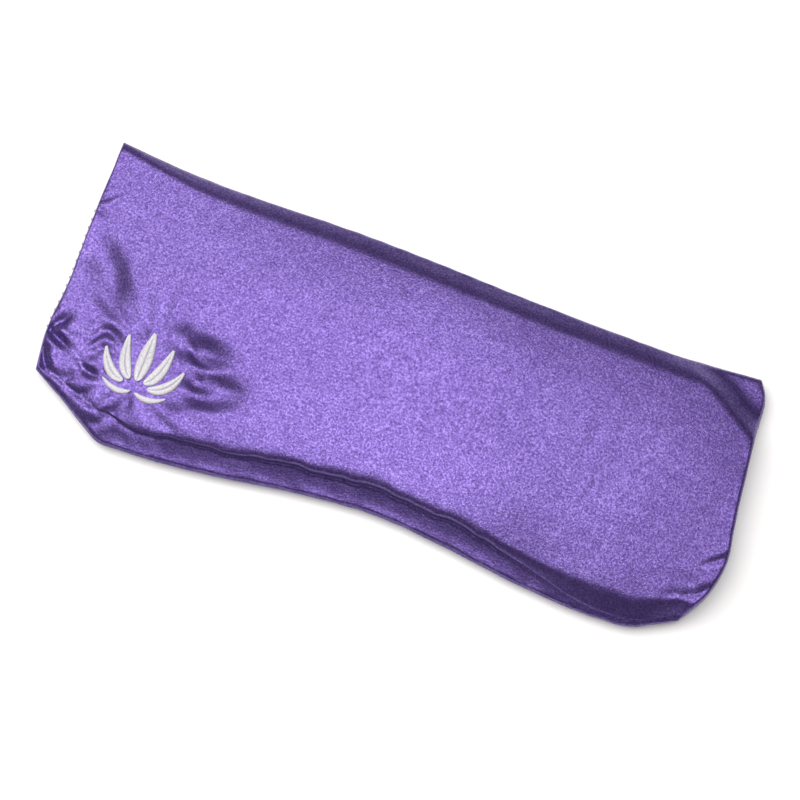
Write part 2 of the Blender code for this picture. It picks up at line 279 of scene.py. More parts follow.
# Share of the rise out of the crease that stands upright, and the width of the slope above that.
CREASE_JUMP = [(-96, 0.1), (-82, 0.86), (10, 0.88), (35, 0.86), (50, 0.7), (60, 0.5), (70, 0.2),
               (105, 0.05)]
CREASE_SLOPE = [(-110, 2.4), (-84, 2.6), (-76, 4.3), (10, 4.3), (20, 4.4), (38, 4.2), (50, 3.0), (60, 3.9),
                (70, 6.1), (80, 7.6), (90, 7.5), (100, 5.6), (108, 4.6)]
# Widths of the slopes down to the straight edge and into the empty corner.
TOP_SLOPE = [(-113, 3.0), (-104, 4.0), (-90, 6.0), (-70, 7.5), (-30, 8.5), (60, 8.5), (95, 9.0)]
CORNER_SLOPE = [(80, 9.5), (96, 8.2), (110, 6.6)]

TUCK = 0.35           # width in plan of the upright part of the crease
LIP = 1.1             # height of the panel's edge over the seam's plane
LIP_TURN, LIP_ROUND = 1.3, 0.8       # the edge turns up by the second within the first
LIP_SLOPE, LIP_BOW = 0.40, 0.8       # then it climbs, most of it close to the crease
LIP_WIDTH = 7.4
RIM_LOW, RIM_TURN = 0.4, 1.5         # the straight edge turns up by the first within the second
RIM_FULL, RIM_UPRIGHT = 6.6, 4.5     # a face over the first height lifts the rim, at most by the second
CORNER_PUFF = 1.3                    # air in the empty corner
PINCH, PINCH_WIDTH = 0.2, 1.1        # how deep and how wide the crease is pinched in
MIDDLE_Y, HALF_WIDTH = 8.0, 40.0     # the face is highest along the first; at the second it has dropped
NOSE_DROP, NOSE_DROP_FAR, TOP_DROP = 0.13, 0.26, 0.28    # by these shares of its height
CORNER_LINE = UPPER_RIGHT + np.array([(-21.1, 3.1), (6.9, -16.5)])    # cuts off the empty corner
CORNER_SOFT = 1.2


def crease_gap(x):
    """How far in from the nose edge the long crease runs."""
    loose = 0.35 * np.sin(x * 0.21 + 1.0) + 0.2 * np.sin(x * 0.47) + 0.12 * np.sin(x * 0.9 + 2.0)
    return eased(x, CREASE_GAP, 1.6) + loose * before(x, 40, 60)


def full_height(x, y):
    """Height of a full face: lower towards both long edges."""
    off = np.abs(y - MIDDLE_Y) / HALF_WIDTH
    nose_drop = NOSE_DROP * off**3 * before(x, 35, 60) + NOSE_DROP_FAR * off**2.2 * after(x, 35, 60)
    top_drop = TOP_DROP * off**2.2 * after(x, -115, -65)
    return eased(x, FULLNESS) * (1 - np.where(y < MIDDLE_Y, nose_drop, top_drop))


def inside_corner(xy):
    """How far inside the line across the empty corner a point lies, easing to 0 beyond it."""
    start, end = CORNER_LINE
    way = (end - start) / np.linalg.norm(end - start)
    inside = (xy - start) @ np.array([way[1], -way[0]])
    return CORNER_SOFT * np.log1p(np.exp(np.clip(inside / CORNER_SOFT, -30, 30)))


def rim_height(x, d, full):
    """Height of the rim that the filling doesn't reach: it stands up where the face beside it is full."""
    upright = np.clip(full - RIM_FULL, 0, RIM_UPRIGHT) * before(x, 66, 88)
    from_top = (RIM_LOW + 0.9 * after(x, -100, -75) + upright) * rising(d["top"] / RIM_TURN)
    end = np.minimum(d["right"], d["left"])
    from_end = 1.3 * rising(end / 1.3) + 4.2 * smooth(end / 20)
    tip = (np.maximum(d["right"], 0.01) ** -3 + np.maximum(d["top"], 0.01) ** -3) ** (-1 / 3)
    return LIP + np.minimum(from_top, from_end) + CORNER_PUFF * np.tanh(tip / 8) * after(x, 60, 80)


def lip_height(x, from_nose, gap):
    """Height of the lip between the nose edge and the crease: it steepens towards the crease."""
    slope = LIP_SLOPE + 0.42 * before(x, -94, -84) + 0.14 * after(x, 40, 65)
    bow = LIP_BOW * after(x, -90, -78) * before(x, 55, 75)
    on_lip = np.minimum(from_nose, gap)
    climb = slope * on_lip * (1 - bow + bow * on_lip / LIP_WIDTH)
    return LIP + LIP_ROUND * rising(from_nose / LIP_TURN) + climb


def crease_climb(x, past):
    """Share of the way up from the lip to the face, at a distance past the crease."""
    uneven = 0.16 * np.sin(x * 0.17 + 2.2) + 0.1 * np.sin(x * 0.39)
    width = eased(x, CREASE_SLOPE, 3.0) * (1 + uneven * before(x, 30, 50))
    jump = eased(x, CREASE_JUMP)
    u = np.clip((past - TUCK) / width, 0, 1)
    round_top = after(x, -84, -76) * before(x, 41, 55)
    slope = round_top * (1 - (1 - u) ** 3) + (1 - round_top) * rising(u)
    return jump * np.clip(past / TUCK, 0, 1) + (1 - jump) * slope


def face_shape(xy):
    """Height of the satin face above the seam's plane."""
    x, y = xy[..., 0], xy[..., 1]
    d = {name: side_distance(name, xy) for name in SIDES}
    full = full_height(x, y)
    rim = rim_height(x, d, full)
    gap = crease_gap(x)
    lip = lip_height(x, d["bottom"], gap)
    past = d["bottom"] - gap
    filled = rising((d["top"] - 0.2) / eased(x, TOP_SLOPE))
    filled = filled * shouldered(inside_corner(xy) / eased(x, CORNER_SLOPE))
    ends = rising((d["left"] + 0.3) / 1.6) * rising((d["right"] + 0.3) / 2.0)
    face = rim + np.maximum(full - rim, 0) * filled * ends
    pinch = PINCH * hill(past, PINCH_WIDTH) * before(x, 20, 50)
    pinch = pinch * smooth(d["left"] / 5) * smooth(d["right"] / 6)
    return np.where(face > lip, lip + (face - lip) * crease_climb(x, past), face) - pinch


# ------------------------------------------------------------------ folds in the face

# Slopes: a line of points, then half the slope's width, its drop, and the reach of the way back up.
MOTIF_BANKS = [
    ([(16.8, 13.6), (15.0, 13.6), (12.0, 14.1)], 3.3, 2.3, 4.6),
    ([(19.6, -6.6), (27.6, -4.0)], 3.3, 2.4, 5.0),
    ([(-16.0, 23.0), (-19.2, 28.1), (-22.6, 31.2)], 3.8, 2.0, 6.0),
]
# Folds: a line of points, then width, depth, and the ridges' height as a share of the depth.
MOTIF_FOLDS = [
    ([(10.2, 11.7), (13.4, 9.4), (15.0, 7.4), (17.5, 6.6), (22.3, 6.3)], 0.9, 0.8, 0.35),
    ([(17.4, 1.4), (19.4, 0.7)], 1.0, 0.9, 0.4),
    ([(-20.4, -0.4), (-18.2, 3.2), (-16.7, 5.8), (-14.1, 6.5), (-10.4, 4.6), (-8.0, 1.6)], 1.5, 1.1, 0.3),
    ([(-17.8, -3.0), (-15.0, 0.6), (-12.0, 1.2), (-8.4, -0.2)], 1.2, 1.0, 0.3),
    ([(-21.4, -4.0), (-17.8, -7.4), (-13.7, -8.6), (-9.8, -8.2)], 1.3, 1.0, 0.3),
    ([(-12.0, -5.0), (-11.2, -6.8)], 0.8, 0.7, 0.4),
    ([(-5.0, 10.6), (-2.6, 8.2)], 1.6, 1.0, 0.2),
]
LOWER_LEFT_FOLDS = [
    ([(-3.5, 11.0), (0.9, 15.4), (4.9, 20.4)], 1.5, 1.9, 0.3),
    ([(-3.5, 14.0), (2.1, 12.2), (7.9, 9.8)], 1.3, 1.7, 0.4),
    ([(-0.7, 8.4), (1.5, 4.0), (4.5, 0.0)], 1.6, 1.6, 0.3),
    ([(2.9, 2.2), (10.5, -1.0), (15.4, -2.8), (20.4, -4.2), (25.9, -6.5)], 1.3, 0.9, 0.1),
    ([(9.9, -0.2), (13.1, 1.8)], 1.1, 0.7, 0.4),
    ([(16.9, -2.8), (19.7, -1.0)], 1.1, 0.7, 0.4),
    ([(28.3, -8.2), (30.5, -3.0)], 1.0, 0.6, 0.4),
    ([(22.5, -10.2), (26.5, -9.0)], 1.2, 0.5, 0.4),
]
UPPER_LEFT_FOLDS = [
    ([(-2.3, -23.5), (2.9, -20.1), (5.9, -17.3)], 0.8, 0.55, 0.4),
    ([(-2.3, -23.1), (3.5, -24.7), (7.1, -26.9)], 0.8, 0.6, 0.4),
]
LOWER_RIGHT_FOLDS = [
    ([(11.6, 26.5), (5.5, 22.1), (0.5, 18.5)], 0.9, 0.7, 0.25),
    ([(10.6, 17.5), (1.6, 8.9), (-7.4, 5.5)], 1.2, 0.5, 0.2),
]
MIDDLE_FOLDS = [
    ([(66.4, -2.0), (66.4, -8.0), (63.6, -13.5)], 0.6, 0.28, 0.4),
    ([(62.0, 20.0), (61.0, 10.0), (59.0, 4.0)], 2.2, 0.12, 0.4),
]
FOLDS = [(MOTIF, MOTIF_FOLDS), (LOWER_LEFT, LOWER_LEFT_FOLDS), (UPPER_LEFT, UPPER_LEFT_FOLDS),
         (LOWER_RIGHT, LOWER_RIGHT_FOLDS), (np.zeros(2), MIDDLE_FOLDS)]     # each list from its own place


FOLD_END = 0.08       # a fold tapers to nearly nothing at its ends
RIDGE_OFF = 1.9       # widths from a fold's middle to its ridges
BANK_END = 8.0        # a slope fades out over this beyond its ends


def fold(xy, points, width, depth, ridge):
    """A valley along a line of points, deepest in its middle, with a soft ridge on both sides."""
    gap, share, _, _ = beside(xy, points)
    taper = np.sin(np.pi * (FOLD_END + (1 - 2 * FOLD_END) * share))
    valley = np.exp(-((gap + 0.05) / width) ** 1.3)
    return depth * taper * (ridge * hill(gap - RIDGE_OFF * width, width) - valley)


def bank(xy, points, half_width, drop, reach):
    """A slope along a line of points: the cloth drops to the line's left, then comes back up."""
    _, _, left, beyond = beside(xy, points)
    back = hill(np.clip(left - half_width, 0, None), reach)
    return -drop * hill(beyond, BANK_END) * smooth((left + half_width) / (2 * half_width)) * back


def dents(xy):
    """The filling's soft dents all over the face, and the small ones along the seam."""
    z = 0.22 * wave_noise(xy, 46, 3) + 0.06 * wave_noise(xy, 17, 5)
    return z + 0.45 * wave_noise(xy, 7, 37, 1) * hill(edge_distance(xy), 2.2)


def tucks(xy):
    """Folds and slopes that the stitching and the turned corners pull into the face."""
    z = np.zeros(xy.shape[:-1])
    for place, folds in FOLDS:
        for points, *size in folds:
            z += fold(xy, place + np.array(points), *size)
    return z + np.min([bank(xy, MOTIF + np.array(points), *size) for points, *size in MOTIF_BANKS], axis=0)


# ------------------------------------------------------------------ meshes

CLOTH_SCALE = 10.0                # the cloth settles at ten times its size
CLOTH_FRAMES = 14
SLACK, DRAW_IN = -0.006, 0.035    # shrink factors at weights 0 and 1
CLOTH = {
    "quality": 6,
    "mass": 0.3,
    "air_damping": 2.0,
    "tension_stiffness": 60,
    "compression_stiffness": 60,
    "shear_stiffness": 30,
    "bending_stiffness": 40.0,
    "tension_damping": 10,
    "compression_damping": 10,
    "shear_damping": 10,
    "bending_damping": 0.5,
    "vertex_group_mass": "hold",
    "pin_stiffness": 1.0,
    "vertex_group_shrink": "shrink",
    "shrink_min": SLACK,
    "shrink_max": DRAW_IN,
}


def new_object(name, verts, faces, looks=()):
    """A smooth-shaded object in the scene, from points in millimetres."""
    mesh = bpy.data.meshes.new(name)
    mesh.from_pydata([tuple(v) for v in verts * MM], [], [tuple(f) for f in faces])
    mesh.validate()
    mesh.shade_smooth()
    obj = bpy.data.objects.new(name, mesh)
    bpy.context.scene.collection.objects.link(obj)
    for look in looks:
        mesh.materials.append(look)
    return obj


def lifted(xy, z):
    """Plan points with their heights, as one list of points."""
    z = np.broadcast_to(z, xy.shape[:-1])
    return np.concatenate([xy, z[..., None]], -1).reshape(-1, 3)


def grid_faces(columns, rows):
    """Quads of a grid of points, facing up."""
    index = np.arange(columns * rows).reshape(columns, rows)
    return np.stack([index[:-1, :-1], index[1:, :-1], index[1:, 1:], index[:-1, 1:]], -1).reshape(-1, 4)


def grid_rim(columns, rows):
    """The indices of a grid's rim, anticlockwise."""
    index = np.arange(columns * rows).reshape(columns, rows)
    return np.concatenate([index[:-1, 0], index[-1, :-1], index[:0:-1, -1], index[0, :0:-1]])


def run_cloth(obj, hold, shrink):
    """Where obj's points settle as cloth.

    hold is how firmly each point keeps its place, and shrink is how much the cloth draws in there.
    """
    obj.data.transform(Matrix.Scale(CLOTH_SCALE, 4))
    for name, weights in (("hold", hold), ("shrink", shrink)):
        group = obj.vertex_groups.new(name=name)
        for i, w in enumerate(weights):
            group.add([i], float(w), "REPLACE")
    cloth = obj.modifiers.new("cloth", "CLOTH")
    for key, value in CLOTH.items():
        setattr(cloth.settings, key, value)
    cloth.settings.effector_weights.gravity = 0.0
    cloth.collision_settings.use_collision = False
    scene = bpy.context.scene
    for number in range(1, CLOTH_FRAMES + 1):
        scene.frame_set(number)
    done = obj.evaluated_get(bpy.context.evaluated_depsgraph_get()).to_mesh()
    co = np.empty(len(done.vertices) * 3)
    done.vertices.foreach_get("co", co)
    scene.frame_set(1)
    bpy.data.objects.remove(obj)
    return co.reshape(-1, 3) / CLOTH_SCALE / MM


# ------------------------------------------------------------------ materials

# Satin colours from dark to light: the light end is partly painted glints off the satin floats.
SATIN_TONES_AND_GLINTS = [(0.42, (0.056, 0.032, 0.142)), (0.63, (0.105, 0.066, 0.245)), (0.84, (0.190, 0.138, 0.385))]
SEED_SHADES = [(0.1, (0.11, 0.045, 0.018)), (0.9, (0.34, 0.17, 0.07))]


def material(name, colour, roughness, metallic=0.0, **sockets):
    """A Principled material, its node tree and its shader."""
    made = bpy.data.materials.new(name)
    made.use_nodes = True
    tree = made.node_tree
    shader = tree.nodes["Principled BSDF"]
    shader.inputs["Base Color"].default_value = (*colour, 1.0)
    shader.inputs["Roughness"].default_value = roughness
    shader.inputs["Metallic"].default_value = metallic
    for socket, value in sockets.items():
        shader.inputs[socket.replace("_", " ")].default_value = value
    return made, tree, shader


def add_node(tree, kind, links=(), **values):
    """A node with its settings, its inputs (in_ and a number or name) and its links (input, source)."""
    node = tree.nodes.new(kind)
    for key, value in values.items():
        if not key.startswith("in_"):
            setattr(node, key, value)
            continue
        socket = key.removeprefix("in_")
        node.inputs[int(socket) if socket.isdigit() else socket.replace("_", " ")].default_value = value
    for socket, source in links:
        tree.links.new(source, node.inputs[socket])
    return node


def object_place(tree):
    """Positions on the object, for its textures."""
    return add_node(tree, "ShaderNodeTexCoord").outputs["Object"]


def noise(tree, place, scale, detail, roughness=0.5):
    """Random patches, smaller for a larger scale."""
    node = add_node(tree, "ShaderNodeTexNoise", [("Vector", place)], in_Scale=scale, in_Detail=detail,
                    in_Roughness=roughness)
    return node.outputs["Fac"]


def times_plus(tree, value, factor, more):
    """value times factor, plus more."""
    return add_node(tree, "ShaderNodeMath", [(0, value), (2, more)], operation="MULTIPLY_ADD",
                    in_1=factor).outputs[0]


def colour_by(tree, shader, source, stops):
    """Colours the shader from a value, through (value, colour) stops."""
    node = add_node(tree, "ShaderNodeValToRGB", [(0, source)])
    elements = node.color_ramp.elements
    while len(elements) < len(stops):
        elements.new(0.5)
    for element, (at, colour) in zip(elements, stops):
        element.position = at
        element.color = (*colour, 1.0)
    tree.links.new(node.outputs[0], shader.inputs["Base Color"])


def raise_by(tree, shader, height, strength, distance, invert=False):
    """Makes the shader's surface look raised where height is large, by a distance in metres."""
    bump = add_node(tree, "ShaderNodeBump", [("Height", height)], in_Strength=strength,
                    in_Distance=distance, invert=invert)
    tree.links.new(bump.outputs[0], shader.inputs["Normal"])


def satin_material():
    """Smooth purple cloth with a sheen: fine speckle, partly painted glints, yarn slubs and faint clouds.
    """
    made, tree, shader = material("satin", (0.10, 0.062, 0.24), 0.40, 0.8, Anisotropic=0.35,
                                  Sheen_Weight=0.02, Sheen_Roughness=0.4, Specular_IOR_Level=0.15,
                                  Sheen_Tint=(0.62, 0.52, 1.0, 1.0))
    place = object_place(tree)
    grain_and_glints = noise(tree, place, 1500.0, 3.0, 0.7)
    slub = noise(tree, place, 260.0, 3.0)
    cloud = noise(tree, place, 22.0, 2.0)
    weave = times_plus(tree, slub, 0.16, grain_and_glints)
    # The speckle in the colour is partly the weave's own tone and partly painted glints in its light
    # specks.
    colour_by(tree, shader, times_plus(tree, cloud, 0.10, weave), SATIN_TONES_AND_GLINTS)
    rough = add_node(tree, "ShaderNodeMapRange", [("Value", grain_and_glints)], in_1=0.3, in_2=0.7, in_3=0.52,
                     in_4=0.32)
    tree.links.new(rough.outputs[0], shader.inputs["Roughness"])
    raise_by(tree, shader, weave, 0.6, 0.2 * MM)
    return made


def thread_material(name, colour, dark, roughness):
    """Twisted fibres, with painted shade between them."""
    made, tree, shader = material(name, colour, roughness, Sheen_Weight=0.3, Sheen_Roughness=0.4,
                                  Anisotropic=0.4)
    fibres_and_gap_shade = noise(tree, object_place(tree), 2600.0, 3.0)
    # The darker colour is painted shade between the fibres.
    colour_by(tree, shader, fibres_and_gap_shade, [(0.3, dark), (0.62, colour)])
    raise_by(tree, shader, fibres_and_gap_shade, 0.4, 0.1 * MM)
    return made


def woven_material(name, colour, dark, pitch):
    """A plain weave: two crossed sets of yarns."""
    made, tree, shader = material(name, colour, 0.9, Sheen_Weight=0.2)
    place = object_place(tree)
    yarns = []
    for way in ("X", "Y"):
        wave = add_node(tree, "ShaderNodeTexWave", [("Vector", place)], bands_direction=way,
                        in_Scale=2 * math.pi / (20 * pitch * MM), in_Distortion=1.5, in_Detail=2.0)
        yarns.append(wave.outputs["Fac"])
    both = add_node(tree, "ShaderNodeMath", [(0, yarns[0]), (1, yarns[1])], operation="MAXIMUM").outputs[0]
    colour_by(tree, shader, both, [(0.1, dark), (0.8, colour)])
    raise_by(tree, shader, both, 0.6, 0.3 * MM)
    return made


def seed_material():
    """Brown seeds packed together, each with its own shade."""
    made, tree, shader = material("seed", (0.25, 0.12, 0.05), 0.35)
    seeds = add_node(tree, "ShaderNodeTexVoronoi", [("Vector", object_place(tree))], in_Scale=330.0)
    shade = add_node(tree, "ShaderNodeSeparateColor", [("Color", seeds.outputs["Color"])]).outputs[0]
    colour_by(tree, shader, shade, SEED_SHADES)
    raise_by(tree, shader, seeds.outputs["Distance"], 0.8, 0.8 * MM, invert=True)
    return made


SATIN = satin_material()
# For each thread material, the second colour is its painted shade between the fibres.
WHITE_THREAD = thread_material("embroidery_thread", (0.66, 0.65, 0.68), (0.42, 0.41, 0.48), 0.42)
SATIN_THREAD = thread_material("satin_thread", (0.16, 0.10, 0.38), (0.07, 0.04, 0.18), 0.6)
MUSLIN = woven_material("muslin", (0.74, 0.68, 0.56), (0.45, 0.40, 0.31), 0.5)
SEED = seed_material()
MUSLIN_THREAD = thread_material("muslin_thread", (0.75, 0.69, 0.57), (0.5, 0.44, 0.34), 0.8)
BACKING = woven_material("backing", (0.85, 0.85, 0.84), (0.7, 0.7, 0.7), 0.35)


# ------------------------------------------------------------------ cover

COLUMNS, ROWS = 221, 103
LIP_ROWS = 11               # rows from the nose edge to the foot of the crease
CREASE_SHARE = 0.22         # the crease lies within this share of the width, from the nose edge
OVERHANG = 1.1              # how far the lip reaches in under the face where the crease stands upright
EDGE_EASE = 1.6             # dents and folds fade out this near the edge
CLOTH_REACH = 2.5           # the furthest that the cloth may move a point
MOTIF_REACH = (15.0, 11.5)  # the cloth is loose round the motif, from this ellipse outwards
LOOSE_CORNER = (LOWER_RIGHT + np.array((-0.4, 10.5)), (12, 12))    # more loose cloth: centre, and reach
LOOSE_CHAMFER = (LOWER_LEFT + np.array((14.5, -3.6)), (18, 7))
HEM_PULL = 0.55             # how far in the turned edge pulls the panel's rim
HEM = [(0.12, 0.80), (0.0, 0.48), (0.16, 0.22), (0.9, 0.14), (3.0, 0.12)]    # in from the edge, off seam
BELLY_RUN = 12.0            # width of the back's slope from the seam down to the ground


def crowded(count, more):
    """Shares from 0 to 1 whose steps are shorter near both ends."""
    even = np.linspace(0, 1, count)
    return even - more * np.sin(2 * np.pi * even) / (2 * np.pi)


def tucked_rows(s):
    """Shares of the width for each column's rows: one row at the crease's foot, the next just past it."""
    fine = np.linspace(0, CREASE_SHARE, 121)
    columns, tries = np.meshgrid(s, fine, indexing="ij")
    xy = plan(columns, tries)
    past = side_distance("bottom", xy) - crease_gap(xy[..., 0])
    first = (past > 0).argmax(axis=1).clip(1)
    index = np.arange(len(s))
    low, high = past[index, first - 1], past[index, first]
    foot = fine[first - 1] + (fine[first] - fine[first - 1]) * low / (low - high)
    foot = np.convolve(np.pad(foot, 1, mode="edge"), [0.25, 0.5, 0.25], mode="valid")[:, None]
    under = foot * np.linspace(0, 1, LIP_ROWS)
    start = foot + TUCK / PLAN_WIDTH
    return np.concatenate([under, start + (1 - start) * crowded(ROWS - LIP_ROWS, 0.35)], axis=1)


def grid_plan():
    """The cover's grid in plan, with its edge drawn in a little unevenly by the seam."""
    s = crowded(COLUMNS, 0.3)
    t = tucked_rows(s)
    xy = plan(np.repeat(s[:, None], ROWS, axis=1), t)
    pull = 0.22 * (1 + wave_noise(xy, 9, 31, 1)) * hill(edge_distance(xy), 3)
    return xy - pull[..., None] * xy / np.linalg.norm(xy, axis=-1, keepdims=True).clip(1)


def off_edge(xy):
    """0 at the panel's edge and 1 a little way in."""
    return smooth(edge_distance(xy) / EDGE_EASE)


def add_hem(verts, faces, side):
    """Rows that turn a panel's edge in: the rim's outline, folded round and back along the seam."""
    rim = grid_rim(COLUMNS, ROWS)
    edge = verts[rim, :2]
    ahead = np.roll(edge, -1, axis=0) - np.roll(edge, 1, axis=0)
    inward = np.stack([-ahead[:, 1], ahead[:, 0]], 1)
    inward /= np.linalg.norm(inward, axis=1)[:, None]
    for _ in range(3):
        inward = (np.roll(inward, 1, axis=0) + 2 * inward + np.roll(inward, -1, axis=0)) / 4
    verts = verts.copy()
    verts[rim, :2] = edge + inward * HEM_PULL
    last = rim
    for inset, off in HEM:
        new = np.arange(len(rim)) + len(verts)
        verts = np.concatenate([verts, lifted(edge + inward * inset, SEAM_Z + side * off)])
        quads = np.stack([last, new, np.roll(new, -1), np.roll(last, -1)], 1)
        faces = np.concatenate([faces, quads if side > 0 else quads[:, ::-1]])
        last = new
    return verts, faces


def loose(xy, centre, reach):
    """1 at the centre of a patch of loose cloth, falling to 0 round it."""
    return np.exp(-(((xy - centre) / reach) ** 2).sum(-1))


def panel_weights(xy):
    """For the cloth: how firmly each point keeps its place, and how much the cloth draws in there."""
    reach = np.linalg.norm((xy - MOTIF) / MOTIF_REACH, axis=-1)
    corner, chamfer = loose(xy, *LOOSE_CORNER), loose(xy, *LOOSE_CHAMFER)
    hold = 0.06 + 0.84 * smooth((reach - 1.0) / 2.2)
    hold = np.minimum(hold, 0.9 - 0.65 * corner)
    hold = np.minimum(hold, 0.9 - 0.35 * chamfer)
    hold = hold.reshape(-1)
    hold[grid_rim(COLUMNS, ROWS)] = 1.0
    still = -SLACK / (DRAW_IN - SLACK)
    uneven = np.clip(0.5 + 0.9 * wave_noise(xy, 13, 21, 1), 0, 1)
    slack = np.maximum.reduce([hill(reach - 1.7, 0.7) * uneven, corner, 0.5 * chamfer])
    shrink = np.where(reach < 1.0, 0.35 + 0.65 * uneven, still * (1 - slack))
    return hold, shrink.reshape(-1)


def settled(verts, faces, xy):
    """The panel's points after the cloth has run, none of them moved too far."""
    moved = run_cloth(new_object("cloth", verts, faces), *panel_weights(xy)) - verts
    size = np.linalg.norm(moved, axis=1)[:, None]
    return verts + moved * np.minimum(1.0, CLOTH_REACH / np.maximum(size, 1e-9))


def cover_front():
    """The front panel: shaped over the filling, settled by the cloth, then puckered and hemmed."""
    xy = grid_plan()
    z = SEAM_Z + face_shape(xy) + dents(xy) * off_edge(xy)
    row = np.arange(ROWS)
    under = np.clip(row / (LIP_ROWS - 1), 0, 1) ** 2 * (row < LIP_ROWS)
    xy[..., 1] += OVERHANG * eased(xy[..., 0], CREASE_JUMP) * under
    verts = lifted(xy, z)
    faces = grid_faces(COLUMNS, ROWS)
    verts = settled(verts, faces, xy)
    verts[:, 2] += tucks(verts[:, :2]) * off_edge(xy).reshape(-1)
    verts, faces = add_hem(verts, faces, 1)
    return new_object("satin_front", verts, faces, [SATIN])


def belly(xy):
    """Height of the back panel: flat on the ground, rising to the seam at its edge."""
    d = edge_distance(xy)
    ripple = 0.35 * wave_noise(xy, 8, 41, 1) * hill(d - 3.5, 3)
    return (SEAM_Z - 1.0) * (1 - rising((d - 0.2) / BELLY_RUN)) + ripple


def cover_back():
    """The back panel, with its hem."""
    xy = grid_plan()
    faces = grid_faces(COLUMNS, ROWS)[:, ::-1]
    verts, faces = add_hem(lifted(xy, belly(xy)), faces, -1)
    return new_object("satin_back", verts, faces, [SATIN])


def subdivide(obj):
    """Rounds off a piece's quads."""
    mod = obj.modifiers.new("smooth", "SUBSURF")
    mod.levels = mod.render_levels = 1
    return obj


# ------------------------------------------------------------------ studio

# Places and sizes here are in metres.
FLOOR_REACH = 6.0
WORLD_COLOUR, WORLD_STRENGTH = (0.80, 0.71, 1.0, 1.0), 0.08
KEY_PLACE = Vector((-0.22, 0.07, 1.0))
KEY_SIZE, KEY_POWER, KEY_COLOUR = (1.5, 0.84), 21.6, (1.0, 0.985, 0.94)
CAMERA_AZIMUTH, CAMERA_ELEVATION = math.radians(20.96), math.radians(80.0)
CAMERA_AIM, CAMERA_DISTANCE = Vector((0.0, -0.0006, 0.0087)), 0.704
CAMERA_LENS, CAMERA_SENSOR = 100.0, 36.0    # in millimetres


def floor():
    """A pale ground that reaches far past the pillow."""
    pale, _, _ = material("floor", (0.86, 0.86, 0.87), 0.9)
    far = FLOOR_REACH / MM
    corners = np.array([(-far, -far, 0), (far, -far, 0), (far, far, 0), (-far, far, 0)])
    new_object("floor", corners, [(0, 1, 2, 3)], [pale])


def surroundings():
    """Dim light from all sides."""
    world = bpy.data.worlds.new("studio")
    bpy.context.scene.world = world
    world.use_nodes = True
    background = world.node_tree.nodes["Background"]
    background.inputs["Color"].default_value = WORLD_COLOUR
    background.inputs["Strength"].default_value = WORLD_STRENGTH


def placed(name, data, place, right, up, back):
    """A camera or light in the scene that looks against back."""
    obj = bpy.data.objects.new(name, data)
    bpy.context.scene.collection.objects.link(obj)
    obj.location = place
    obj.rotation_mode = "QUATERNION"
    obj.rotation_quaternion = Matrix((right, up, back)).transposed().to_quaternion()
    return obj


def key_light():
    """A large soft light overhead, its long side along the pillow."""
    light = bpy.data.lights.new("key", "AREA")
    light.shape = "RECTANGLE"
    light.size, light.size_y = KEY_SIZE
    light.energy = KEY_POWER
    light.color = KEY_COLOUR
    back = KEY_PLACE.normalized()
    right = (Vector((1, 0, 0)) - back * back.x).normalized()
    placed("key", light, KEY_PLACE, right, back.cross(right), back)


def camera():
    """A view from nearly straight above, turned a little to one side."""
    data = bpy.data.cameras.new("camera")
    data.lens = CAMERA_LENS
    data.sensor_width = CAMERA_SENSOR
    flat = math.cos(CAMERA_ELEVATION)
    back = Vector((math.sin(CAMERA_AZIMUTH) * flat, -math.cos(CAMERA_AZIMUTH) * flat,
                   math.sin(CAMERA_ELEVATION)))
    right = Vector((math.cos(CAMERA_AZIMUTH), math.sin(CAMERA_AZIMUTH), 0.0))
    place = CAMERA_AIM + back * CAMERA_DISTANCE
    bpy.context.scene.camera = placed("camera", data, place, right, back.cross(right), back)


def studio():
    """The surroundings, the light and the view."""
    floor()
    surroundings()
    key_light()
    camera()
    bpy.context.scene.view_settings.view_transform = "Standard"
    bpy.context.scene.view_settings.look = "None"


# ------------------------------------------------------------------ inner bag, seeds and backing

BAG_INSETS = (12.0, 12.0, 14.0, 10.0)     # in from the cover's left, right, bottom and top
SEED_INSETS = (17.0, 17.0, 19.0, 15.0)
BAG_GRID, SEED_GRID = (115, 41), (171, 53)
BAG_RUN, SEED_RUN = 8.0, 6.0              # width of the slope from the rim up to full height
BAG_UNDER_FACE, SEED_UNDER_FACE = 3.6, 4.6
BAG_OVER_BACK, SEED_OVER_BACK = 0.6, 1.2
HALF_GAP = 0.15                           # sheets stay this far off the seam's plane
DENT_REACH = 2.5                          # a sheet under the face clears dents this near
PEBBLE = 0.18                             # how far the seeds bulge their heap's skin
BAG_STITCH = 0.09                         # radius of the bag's thread


def inner_sheet(rim_gap, target, side, run):
    """Heights of a sheet from its rim at the seam's plane to a target height in its middle."""
    start = SEAM_Z + side * HALF_GAP
    return start + (target - start) * rising(np.minimum(1.0, rim_gap / run))


def inner_grid(insets, columns, rows):
    """A grid in plan, drawn in by its insets, and each point's distance from its rim."""
    left, right, bottom, top = insets
    s, t = np.meshgrid(np.linspace(left / PLAN_LENGTH, 1 - right / PLAN_LENGTH, columns),
                       np.linspace(bottom / PLAN_WIDTH, 1 - top / PLAN_WIDTH, rows), indexing="ij")
    i, j = np.meshgrid(np.arange(columns), np.arange(rows), indexing="ij")
    from_ends = np.minimum(i, columns - 1 - i) * PLAN_LENGTH / columns
    from_edges = np.minimum(j, rows - 1 - j) * PLAN_WIDTH / rows
    return plan(s, t), np.minimum(from_ends, from_edges)


def under_face(xy, gap):
    """A height that far under the face, low enough to clear the face's dents too."""
    steps = DENT_REACH * np.array([(0, 0), (1, 0), (-1, 0), (0, 1), (0, -1)])
    near = np.stack([face_shape(xy + step) for step in steps])
    return SEAM_Z + np.maximum(near.min(axis=0) - gap, HALF_GAP)


